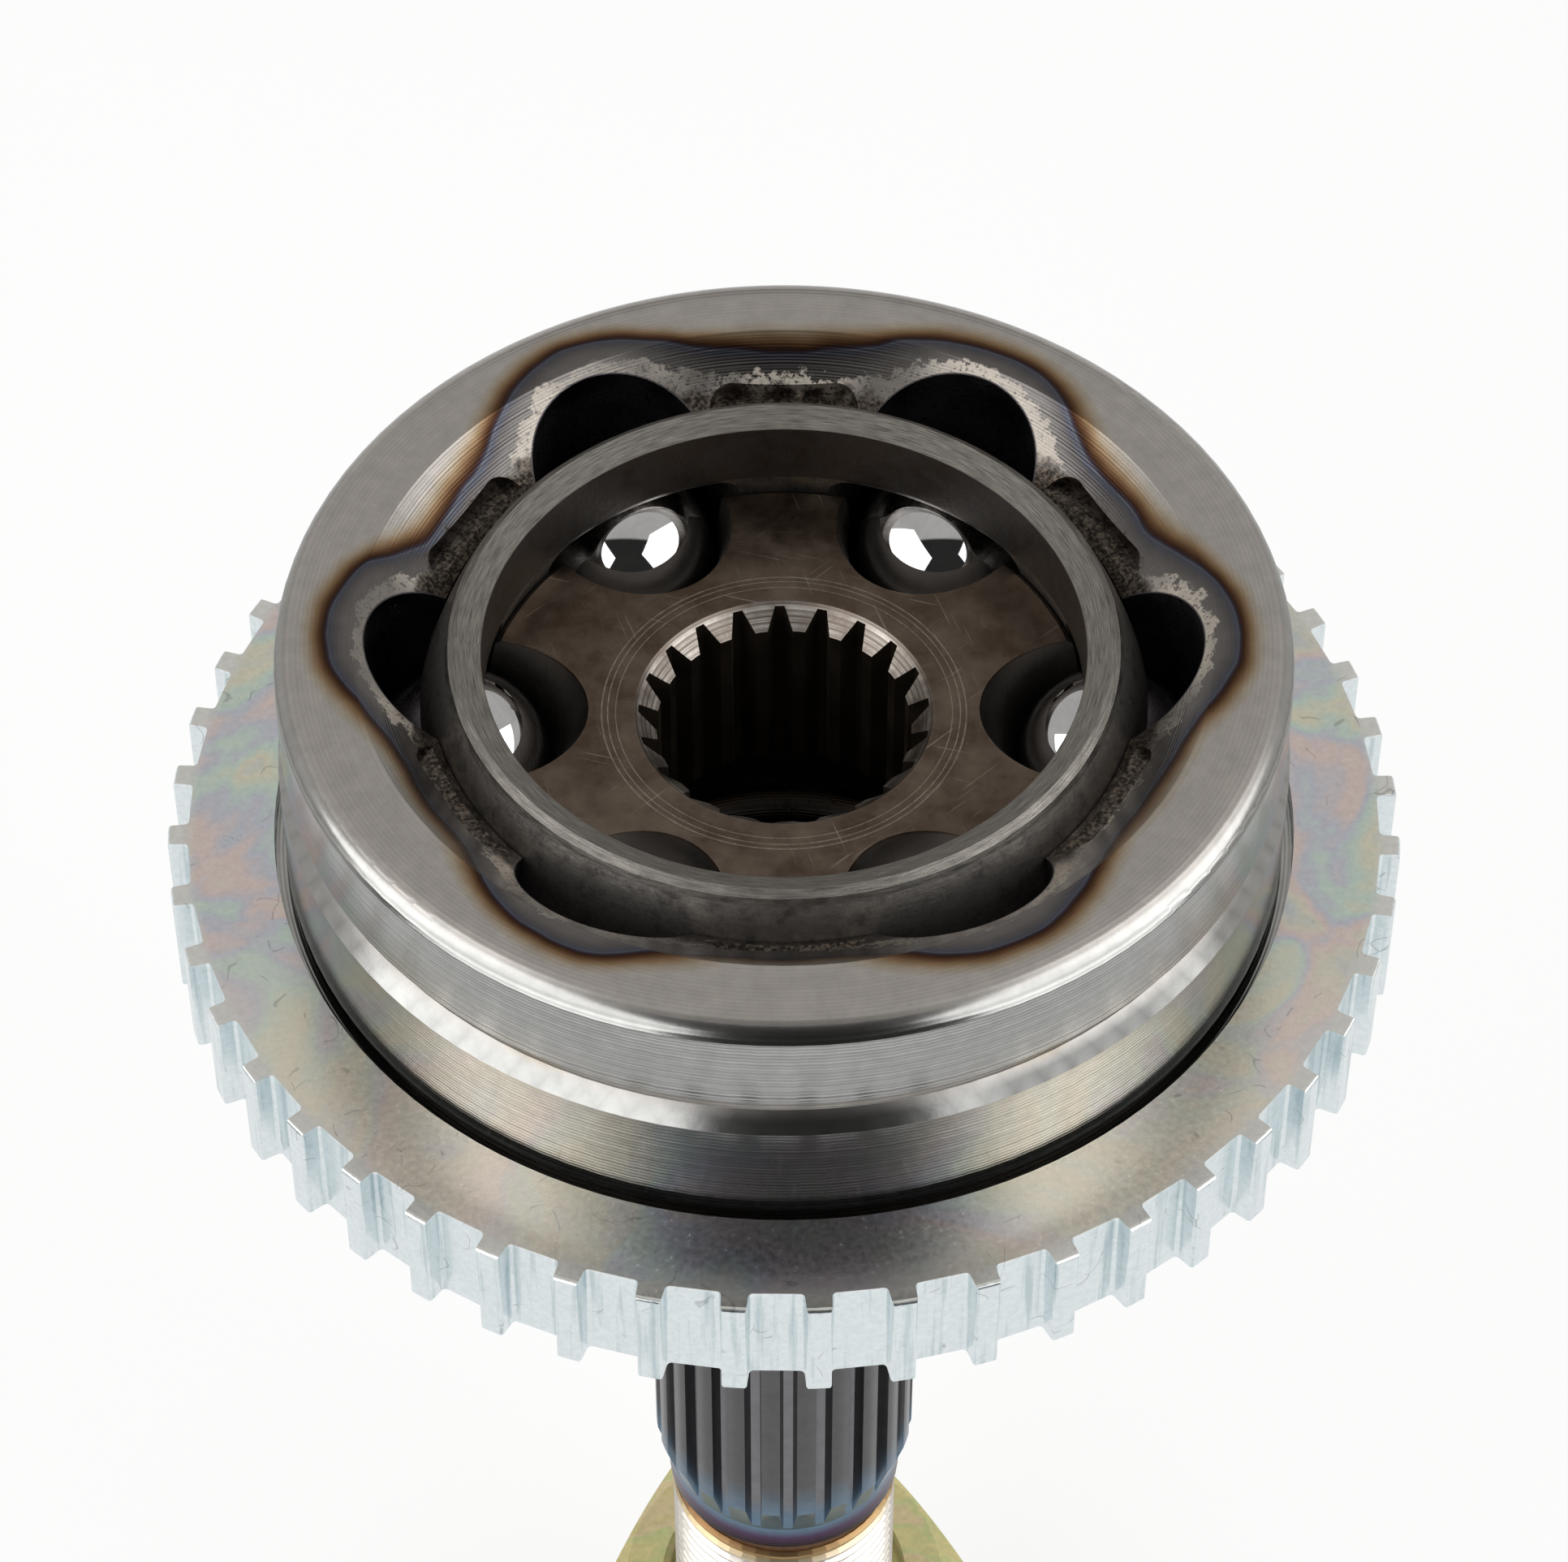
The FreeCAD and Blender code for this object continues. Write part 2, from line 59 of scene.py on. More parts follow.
# Each input is a link, a value or a hex colour, and a node stands for its first output in use
def addNode(tree, kind, inputs=None, **settings):
    node = tree.nodes.new("ShaderNode" + kind)
    for name, value in settings.items():
        setattr(node, name, value)
    for socket, value in (inputs or {}).items():
        if isinstance(value, str):
            value = linearColour(value)
        if isinstance(value, bpy.types.Node):
            value = next(output for output in value.outputs if output.enabled)
        if isinstance(value, bpy.types.NodeSocket):
            tree.links.new(value, node.inputs[socket])
        else:
            node.inputs[socket].default_value = value
    return node


def setStops(ramp, stops):  # stops are (position, hex colour)
    elements = ramp.color_ramp.elements
    while len(elements) > 1:
        elements.remove(elements[-1])
    elements[0].position = stops[0][0]
    elements[0].color = linearColour(stops[0][1])
    for position, colour in stops[1:]:
        elements.new(position).color = linearColour(colour)


def newMaterial(name):
    material = bpy.data.materials.new(name)
    material.use_nodes = True
    tree = material.node_tree
    tree.nodes.clear()
    return material, tree


def finishMetal(tree, inputs):  # the shader, with fixed values on its own sockets
    shader = addNode(tree, "BsdfPrincipled", {"Metallic": 1.0, **inputs})
    addNode(tree, "OutputMaterial", {"Surface": shader})


def placeInMillimetres(tree):  # object coordinates, in mm
    coords = addNode(tree, "TexCoord")
    return addNode(tree, "VectorMath", {0: coords.outputs["Object"], 1: (1000, 1000, 1000)},
                   operation="MULTIPLY")


def axesAndRadius(tree, place):  # X, Y and Z apart, and the distance from the joint's axis
    axes = addNode(tree, "SeparateXYZ", {0: place})
    flat = addNode(tree, "VectorMath", {0: place, 1: (1, 1, 0)}, operation="MULTIPLY")
    radius = addNode(tree, "VectorMath", {0: flat}, operation="LENGTH").outputs["Value"]
    return axes, radius


def aroundAxis(tree, axes):  # the angle round the joint's axis, in radians
    return addNode(tree, "Math", {0: axes.outputs["Y"], 1: axes.outputs["X"]},
                   operation="ARCTAN2")


def bothShare(tree, first, firstSpan, second, secondSpan):  # the share where two spans meet
    firstShare = addNode(tree, "MapRange", {"Value": first, **firstSpan})
    secondShare = addNode(tree, "MapRange", {"Value": second, **secondSpan})
    return addNode(tree, "Math", {0: firstShare, 1: secondShare}, operation="MULTIPLY")


def wear(nodeName, material):
    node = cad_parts[nodeName]
    node.data.materials.clear()
    node.data.materials.append(material)


# Camera: the photograph's view of the joint from the front and above
camera = {
    "place": (0, -0.331473, 0.376583),
    "tilt": 41.115,
    "lens": 124.75,
    "sensor": 36,
    "nearClip": 0.01,
}
cameraData = bpy.data.cameras.new("camera")
cameraData.lens = camera["lens"]
cameraData.sensor_width = camera["sensor"]
cameraData.clip_start = camera["nearClip"]
cameraObject = bpy.data.objects.new("camera", cameraData)
cameraObject.location = camera["place"]
cameraObject.rotation_euler = (math.radians(camera["tilt"]), 0, 0)
bpy.context.collection.objects.link(cameraObject)
bpy.context.scene.camera = cameraObject

# In the settings below, a dictionary holds what goes to the sockets of one node. Heights and
# radii are in mm from the joint's centre and axis, the scales of noise are per mm, and the
# distances of bumps are in metres.

# Turned, induction-hardened steel of the bell and stub. Feed marks ring the axis, and hardening
# left bands of temper colour and pale scale round the ball tracks.
bell = {
    "onSide": {"From Min": 44.6, "From Max": 45.6},  # radii where the face gives way to the side
    "bareRoughness": {"To Min": 0.3, "To Max": 0.17},  # face, side
    "sideTint": {"Color1": "#ffffff", "Color2": "#f4fbff"},

    "trackPath": 30.594,  # radius of the arc that a ball's centre rolls on
    "trackArcHeight": 6.0,
    "trackRadius": 8.7,
    "landSphere": 34.45,
    "meanShift": -0.3,
    "bandShift": (  # waves round the mouth, and mm that the bands drift with them
        (1, "COSINE", 0.5), (2, "COSINE", -0.7), (3, "SINE", -0.5),
    ),
    "landTemper": {1: 0.83, 2: -1.3},  # how a distance from the land counts in the bands
    "bandBlend": 6.0,
    "slowNoise": {"Scale": 0.09, "Detail": 2.0},
    "slowDrift": {1: 2.0, 2: -1.0},  # mm of wandering: noise times the first, plus the second
    "raggedNoise": {"Scale": 0.55, "Detail": 8.0, "Roughness": 0.62},
    "raggedDrift": {1: 4.4, 2: -2.2},
    "grainNoise": {"Scale": 2.6, "Detail": 4.0, "Roughness": 0.6},
    "temperWidth": 6.0,
    "temperBands": [  # from the hardened zone's edge, as shares of temperWidth
        (0.0, "#6f6b68"), (0.3, "#656260"), (0.44, "#545152"), (0.505, "#484c57"),
        (0.525, "#57555a"), (0.545, "#363945"), (0.565, "#35282a"), (0.6, "#3a271c"),
        (0.655, "#5c432f"), (0.73, "#866f55"), (0.82, "#a09585"), (0.93, "#aaa5a0"),
    ],
    "etched": {"From Min": 0.62, "From Max": 0.5, "To Max": -0.1},  # smoother inside the bands

    "feed": 0.42,  # mm between turning marks
    "ridgeDepth": 0.5,
    "chanceNoise": {"Scale": 3.1, "Detail": 3.0},
    "chanceDepth": {1: 2.6, 2: -1.3},
    "lineDepth": {1: 0.2, 2: 0.06},  # what the side adds to the face's
    "lineTone": 0.97,
    "turnedBump": {"Strength": 0.1, "Distance": 0.00005},
    "grainBump": {"Strength": 0.02, "Distance": 0.0001},

    "paleScale": "#b9b1a7",
    "scaleIn": {"From Min": 1.25, "From Max": 1.05},  # mm from the hardened zone's edge
    "scaleOut": {"From Min": 2.4, "From Max": 3.2},  # mm from the land
    "scaleFlecks": {"From Min": 0.36, "From Max": 0.46},
    "scalePatches": {"From Min": 0.4, "From Max": 0.58, "To Min": 0.25, "To Max": 1.0},
    "scaleRoughness": 0.28,
    # painted shade of the hollow by the cage, mottled
    "shadowScale": {"Color1": "#2a2623", "Color2": "#71675d"},
    "shadowFrom": {"From Min": 3.4, "From Max": 2.2},
    "shadowMottle": {"From Min": 0.42, "From Max": 0.68},
    "shadowRoughness": 0.2,
    "trackColour": "#4a474a",
    "trackEdge": {"From Min": 0.16, "From Max": 0.08},

    "forged": "#6b6864",
    "underRing": {"From Min": -18.9, "From Max": -19.1},
    "blotches": {"From Min": 0.3, "From Max": 0.7, "To Min": 0.9, "To Max": 1.08},
    "onSpline": {"From Min": -54.6, "From Max": -54.8},
    "stubSpan": {"From Min": -100.0, "From Max": -118.0},
    "stubColours": [  # down the stub from the spline to the thread
        (0.0, "#5c5b5b"), (0.14, "#5f6b75"), (0.3, "#687d90"), (0.56, "#60788c"),
        (0.64, "#4c3552"), (0.71, "#2a1b20"), (0.78, "#4a3226"), (0.85, "#8a6a49"),
        (0.92, "#c9b183"), (1.0, "#ddd8d1"),
    ],
    # painted light in the floors between the spline's teeth
    "paintedLightFloors": "#77777a",
    "intoFloor": {"From Min": 13.45, "From Max": 12.9},
    "aboveChamfer": {"From Min": -107.5, "From Max": -104.5},
    "splineTeeth": 23,
    "splineGroove": math.radians(-88),  # where one groove lies
    "landsFrom": {"From Min": -54.8, "From Max": -57.0},
    "landsTo": {"From Min": -107.0, "From Max": -103.0},
    "landsBump": {"Strength": 1.0, "Distance": 0.00015},

    "rimArc": (42.2, 12.64),  # radius and height that the rim's broad round turns about
    "rimFoot": 15.35,
    "flankFoot": {"From Min": 3.3, "From Max": 3.4},
    "flankTop": {"From Min": 5.2, "From Max": 5.1},
    "flankLines": 0.22,
    # painted shade: the flank is darkened on its part towards +X
    "intoPaintedShade": {"From Min": 12.0, "From Max": 20.0},
    "outOfPaintedShade": {"From Min": 42.0, "From Max": 32.0},
    "paintedShadeTone": {"To Min": 1.0, "To Max": 0.42},
}


# Distances from a ball track's wall and from the land, with the six tracks folded on to one
def fromTrackAndLand(tree, place, radius, height, azimuth):
    folded = addNode(tree, "Math", {0: azimuth, 1: math.pi / 6}, operation="PINGPONG")
    cosFold = addNode(tree, "Math", {0: folded}, operation="COSINE")
    sinFold = addNode(tree, "Math", {0: folded}, operation="SINE")
    alongTrack = addNode(tree, "Math", {0: radius, 1: cosFold}, operation="MULTIPLY")
    besideTrack = addNode(tree, "Math", {0: radius, 1: sinFold}, operation="MULTIPLY")
    aboveArc = addNode(tree, "Math", {0: height, 1: bell["trackArcHeight"]}, operation="SUBTRACT")
    inArc = addNode(tree, "CombineXYZ", {"X": alongTrack, "Y": aboveArc})
    reach = addNode(tree, "VectorMath", {0: inArc}, operation="LENGTH").outputs["Value"]
    offArc = addNode(tree, "Math", {0: reach, 1: bell["trackPath"]}, operation="SUBTRACT")
    inTrack = addNode(tree, "CombineXYZ", {"X": offArc, "Y": besideTrack})
    fromPath = addNode(tree, "VectorMath", {0: inTrack}, operation="LENGTH").outputs["Value"]
    fromTrack = addNode(tree, "Math", {0: fromPath, 1: bell["trackRadius"]}, operation="SUBTRACT")
    fromCentre = addNode(tree, "VectorMath", {0: place}, operation="LENGTH").outputs["Value"]
    fromLand = addNode(tree, "Math", {0: fromCentre, 1: bell["landSphere"]}, operation="SUBTRACT")
    return fromTrack, fromLand


# Depth in the temper bands, in which the land counts by an amount that drifts round the mouth
def temperDepth(tree, azimuth, fromTrack, fromLand):
    drift = bell["meanShift"]
    for waves, kind, amount in bell["bandShift"]:
        angle = addNode(tree, "Math", {0: azimuth, 1: waves}, operation="MULTIPLY")
        wave = addNode(tree, "Math", {0: angle}, operation=kind)
        drift = addNode(tree, "Math", {0: wave, 1: amount, 2: drift}, operation="MULTIPLY_ADD")
    fromDrifted = addNode(tree, "Math", {0: fromLand, 1: drift}, operation="SUBTRACT")
    landTemper = addNode(tree, "Math", {0: fromDrifted, **bell["landTemper"]},
                         operation="MULTIPLY_ADD")
    return addNode(tree, "Math", {0: fromTrack, 1: landTemper, 2: bell["bandBlend"]},
                   operation="SMOOTH_MIN")


# Feed marks, which run round the axis on face, cone and side alike: even ridges, chance ones
def feedMarks(tree, radius, height):
    along = addNode(tree, "Math", {0: radius, 1: height}, operation="ADD")
    phase = addNode(tree, "Math", {0: along, 1: 2 * math.pi / bell["feed"]}, operation="MULTIPLY")
    ridges = addNode(tree, "Math", {0: phase}, operation="SINE")
    chance = addNode(tree, "TexNoise", {"W": along, **bell["chanceNoise"]}, noise_dimensions="1D")
    chanceShare = addNode(tree, "Math", {0: chance, **bell["chanceDepth"]},
                          operation="MULTIPLY_ADD")
    return addNode(tree, "Math", {0: ridges, 1: bell["ridgeDepth"], 2: chanceShare},
                   operation="MULTIPLY_ADD")


# The stub's colours from spline to thread, with painted light that makes the floors between the
# spline's teeth lighter and greyer
def stubColour(tree, radius, height):
    stubShare = addNode(tree, "MapRange", {"Value": height, **bell["stubSpan"]})
    stub = addNode(tree, "ValToRGB", {"Fac": stubShare})
    setStops(stub, bell["stubColours"])
    floorLightShare = bothShare(tree, radius, bell["intoFloor"], height, bell["aboveChamfer"])
    return addNode(tree, "MixRGB", {"Fac": floorLightShare, "Color1": stub,
                                    "Color2": bell["paintedLightFloors"]})


# The boot groove's lower flank shows its lines more, and carries painted shade on its part towards
# +X
def flankTone(tree, axes, onSide, lines):
    height, sideways = axes.outputs["Z"], axes.outputs["X"]
    atFlank = bothShare(tree, height, bell["flankFoot"], height, bell["flankTop"])
    onFlank = addNode(tree, "Math", {0: atFlank, 1: onSide}, operation="MULTIPLY")
    towardsX = bothShare(tree, sideways, bell["intoPaintedShade"], sideways, bell["outOfPaintedShade"])
    # painted shade, darkening the flank towards +X
    paintedShade = addNode(tree, "Math", {0: onFlank, 1: towardsX}, operation="MULTIPLY")
    paintedShadeTone = addNode(tree, "MapRange", {"Value": paintedShade, **bell["paintedShadeTone"]})
    flankLines = addNode(tree, "Math", {0: lines, 1: onFlank}, operation="MULTIPLY")
    return addNode(tree, "Math", {0: flankLines, 1: bell["flankLines"], 2: paintedShadeTone},
                   operation="MULTIPLY_ADD")


# The rim's edge reads as one broad round that ends in a crisp line on the side
def rimNormal(tree, place, radius, height):
    rimRadius, rimHeight = bell["rimArc"]
    outFrom = addNode(tree, "Math", {0: radius, 1: rimRadius}, operation="SUBTRACT")
    outShare = addNode(tree, "Math", {0: outFrom, 1: radius}, operation="DIVIDE")
    outward = addNode(tree, "VectorMath", {0: place, "Scale": outShare}, operation="SCALE")
    outAxes = addNode(tree, "SeparateXYZ", {0: outward})
    upFrom = addNode(tree, "Math", {0: height, 1: rimHeight}, operation="SUBTRACT")
    roundWay = addNode(tree, "CombineXYZ", {"X": outAxes.outputs["X"],
                                            "Y": outAxes.outputs["Y"], "Z": upFrom})
    roundNormal = addNode(tree, "VectorTransform", {0: roundWay}, vector_type="NORMAL",
                          convert_from="OBJECT", convert_to="WORLD")
    pastRim = addNode(tree, "Math", {0: radius, 1: rimRadius}, operation="GREATER_THAN")
    aboveFoot = addNode(tree, "Math", {0: height, 1: bell["rimFoot"]}, operation="GREATER_THAN")
    onRim = addNode(tree, "Math", {0: pastRim, 1: aboveFoot}, operation="MULTIPLY")
    plainNormal = addNode(tree, "NewGeometry").outputs["Normal"]
    rimmed = addNode(tree, "MixRGB", {"Fac": onRim, "Color1": plainNormal,
                                      "Color2": roundNormal})
    return addNode(tree, "VectorMath", {0: rimmed}, operation="NORMALIZE")


# The spline's lands read as gently rounded between their grooves
def landHeight(tree, azimuth, height):
    teeth = bell["splineTeeth"]
    toothAngle = addNode(tree, "Math",
                         {0: azimuth, 1: teeth, 2: math.pi - teeth * bell["splineGroove"]},
                         operation="MULTIPLY_ADD")
    toothWave = addNode(tree, "Math", {0: toothAngle}, operation="COSINE")
    splineShare = bothShare(tree, height, bell["landsFrom"], height, bell["landsTo"])
    return addNode(tree, "Math", {0: toothWave, 1: splineShare}, operation="MULTIPLY")


def hardenedSteel():
    material, tree = newMaterial("hardenedTurnedSteel")
    place = placeInMillimetres(tree)
    axes, radius = axesAndRadius(tree, place)
    height = axes.outputs["Z"]
    azimuth = aroundAxis(tree, axes)
    fromTrack, fromLand = fromTrackAndLand(tree, place, radius, height, azimuth)
    fromHard = temperDepth(tree, azimuth, fromTrack, fromLand)

    # Wandering edges: slow for the colour bands, ragged for the scale
    slow = addNode(tree, "TexNoise", {"Vector": place, **bell["slowNoise"]})
    ragged = addNode(tree, "TexNoise", {"Vector": place, **bell["raggedNoise"]})
    grain = addNode(tree, "TexNoise", {"Vector": place, **bell["grainNoise"]})
    slowShift = addNode(tree, "Math", {0: slow, **bell["slowDrift"]}, operation="MULTIPLY_ADD")
    raggedShift = addNode(tree, "Math", {0: ragged, **bell["raggedDrift"]},
                          operation="MULTIPLY_ADD")
    bandDepth = addNode(tree, "Math", {0: fromHard, 1: slowShift}, operation="ADD")
    bandShare = addNode(tree, "Math", {0: bandDepth, 1: bell["temperWidth"]}, operation="DIVIDE")
    bands = addNode(tree, "ValToRGB", {"Fac": bandShare})
    setStops(bands, bell["temperBands"])

    # Temper colours under the feed marks, which show more on the side
    lines = feedMarks(tree, radius, height)
    onSide = addNode(tree, "MapRange", {"Value": radius, **bell["onSide"]})
    lineDepth = addNode(tree, "Math", {0: onSide, **bell["lineDepth"]}, operation="MULTIPLY_ADD")
    lineTone = addNode(tree, "Math", {0: lines, 1: lineDepth, 2: bell["lineTone"]},
                       operation="MULTIPLY_ADD")
    tint = addNode(tree, "MixRGB", {"Fac": onSide, **bell["sideTint"]})
    tinted = addNode(tree, "MixRGB", {"Fac": 1.0, "Color1": bands, "Color2": tint},
                     blend_type="MULTIPLY")
    turned = addNode(tree, "VectorMath", {0: tinted, "Scale": lineTone}, operation="SCALE")

    # Pale scale in a ragged band beside each track, and mottled painted shade down in the hollow by
    # the cage
    scaleDepth = addNode(tree, "Math", {0: fromHard, 1: raggedShift}, operation="ADD")
    landDepth = addNode(tree, "Math", {0: fromLand, 1: raggedShift}, operation="ADD")
    scaleRing = bothShare(tree, scaleDepth, bell["scaleIn"], landDepth, bell["scaleOut"])
    scaleSpots = bothShare(tree, slow, bell["scalePatches"], grain, bell["scaleFlecks"])
    scaleShare = addNode(tree, "Math", {0: scaleRing, 1: scaleSpots}, operation="MULTIPLY")
    scaled = addNode(tree, "MixRGB", {"Fac": scaleShare, "Color1": turned,
                                      "Color2": bell["paleScale"]})
    shadowShare = addNode(tree, "MapRange", {"Value": landDepth, **bell["shadowFrom"]})
    mottle = addNode(tree, "MapRange", {"Value": grain, **bell["shadowMottle"]})
    shadow = addNode(tree, "MixRGB", {"Fac": mottle, **bell["shadowScale"]})
    mouth = addNode(tree, "MixRGB", {"Fac": shadowShare, "Color1": scaled, "Color2": shadow})

    # The darker tracks, the forged skin under the ring, and the stub
    trackShare = addNode(tree, "MapRange", {"Value": fromTrack, **bell["trackEdge"]})
    tracked = addNode(tree, "MixRGB", {"Fac": trackShare, "Color1": mouth,
                                       "Color2": bell["trackColour"]})
    underRing = addNode(tree, "MapRange", {"Value": height, **bell["underRing"]})
    forged = addNode(tree, "MixRGB", {"Fac": underRing, "Color1": tracked,
                                      "Color2": bell["forged"]})
    onSpline = addNode(tree, "MapRange", {"Value": height, **bell["onSpline"]})
    coloured = addNode(tree, "MixRGB", {"Fac": onSpline, "Color1": forged,
                                        "Color2": stubColour(tree, radius, height)})
    blotch = addNode(tree, "MapRange", {"Value": ragged, **bell["blotches"]})
    tone = addNode(tree, "Math", {0: blotch, 1: flankTone(tree, axes, onSide, lines)},
                   operation="MULTIPLY")
    base = addNode(tree, "VectorMath", {0: coloured, "Scale": tone}, operation="SCALE")

    roughScale = addNode(tree, "Math", {0: scaleShare, 1: bell["scaleRoughness"]},
                         operation="MULTIPLY")
    roughShadow = addNode(tree, "Math", {0: shadowShare, 1: bell["shadowRoughness"]},
                          operation="MULTIPLY")
    roughBare = addNode(tree, "MapRange", {"Value": onSide, **bell["bareRoughness"]})
    etched = addNode(tree, "MapRange", {"Value": bandShare, **bell["etched"]})
    roughOwn = addNode(tree, "Math", {0: roughBare, 1: etched}, operation="ADD")
    roughPlain = addNode(tree, "Math", {0: roughScale, 1: roughOwn}, operation="ADD")
    roughness = addNode(tree, "Math", {0: roughPlain, 1: roughShadow}, operation="ADD")

    facing = rimNormal(tree, place, radius, height)
    turning = addNode(tree, "Bump", {"Height": lines, "Normal": facing, **bell["turnedBump"]})
    lands = addNode(tree, "Bump", {"Height": landHeight(tree, azimuth, height),
                                   "Normal": turning, **bell["landsBump"]})
    skin = addNode(tree, "Bump", {"Height": grain, "Normal": lands, **bell["grainBump"]})
    finishMetal(tree, {"Base Color": base, "Roughness": roughness, "Normal": skin})
    return material


# Bright zinc plate on pressed sheet: bluish silver with a thin rainbow film and handling marks
ring = {
    "filmNoise": {"Scale": 0.06, "Detail": 3.0, "Distortion": 0.7},
    "film": [
        (0.3, "#c3ccd3"), (0.39, "#dcd9c9"), (0.45, "#e0cfca"), (0.5, "#c9ccd6"),
        (0.54, "#cbdcd2"), (0.6, "#e0dcc6"), (0.68, "#c6cfd6"),
    ],
    "skirt": {"Color1": "#e9f1f3", "Color2": "#a3bac0"},
    "streakStretch": (1.0, 1.0, 0.06),
    "streakNoise": {"Scale": 1.0, "Detail": 4.0},
    "streakEdge": {"From Min": 0.54, "From Max": 0.68, "To Max": 0.5},

    # painted light on the flats towards -Y, and painted shade at the front between them
    "paintedSheenFilm": "#fff3e4",
    "sheenFront": {"From Min": -14.0, "From Max": -38.0},
    "sheenSides": {"From Min": 12.0, "From Max": 22.0, "To Max": 0.6},
    "paintedShadeFilm": "#c2c6d8",
    "shadeFront": {"From Min": -42.0, "From Max": -48.0},
    "shadeMiddle": {"From Min": 22.0, "From Max": 8.0, "To Max": 0.5},
    "onTop": {"From Min": -7.37, "From Max": -7.29},  # the top face lies at -7.25
    "toothTop": "#e0e0dc",
    "onTooth": {"From Min": 54.8, "From Max": 56.0},
    "fineNoise": {"Scale": 1.5, "Detail": 7.0, "Roughness": 0.68},
    "fineTone": {"From Min": 0.3, "From Max": 0.7, "To Min": 0.88, "To Max": 1.04},
    "roughness": {"From Min": 0.3, "From Max": 0.7, "To Min": 0.2, "To Max": 0.28},

    # painted highlight along the skirt's upper edge
    "burrHighlight": "#eef2f3",
    "burrHeight": {"From Min": -7.67, "From Max": -7.47},
    "burrRadius": {"From Min": 54.5, "From Max": 54.7},
    "burrBreaks": {"From Min": 0.42, "From Max": 0.56},
    "wanderNoise": {"Scale": 0.12, "Detail": 2.0},
    "wander": (14, 14, 14),
    "hairCells": {"Scale": 0.11},
    "hairEdge": {"From Min": 0.012, "From Max": 0.004},  # in cells of about 9 mm
    "breakNoise": {"Scale": 0.32, "Detail": 2.0},
    "breakEdge": {"From Min": 0.56, "From Max": 0.6},
    "nickCells": {"Scale": 0.13},
    "nickEdge": {"From Min": 0.065, "From Max": 0.04},
    "mark": "#6b6d6e",
    "markDepth": 0.36,
    "bump": {"Strength": 0.08, "Distance": 0.0001},
}


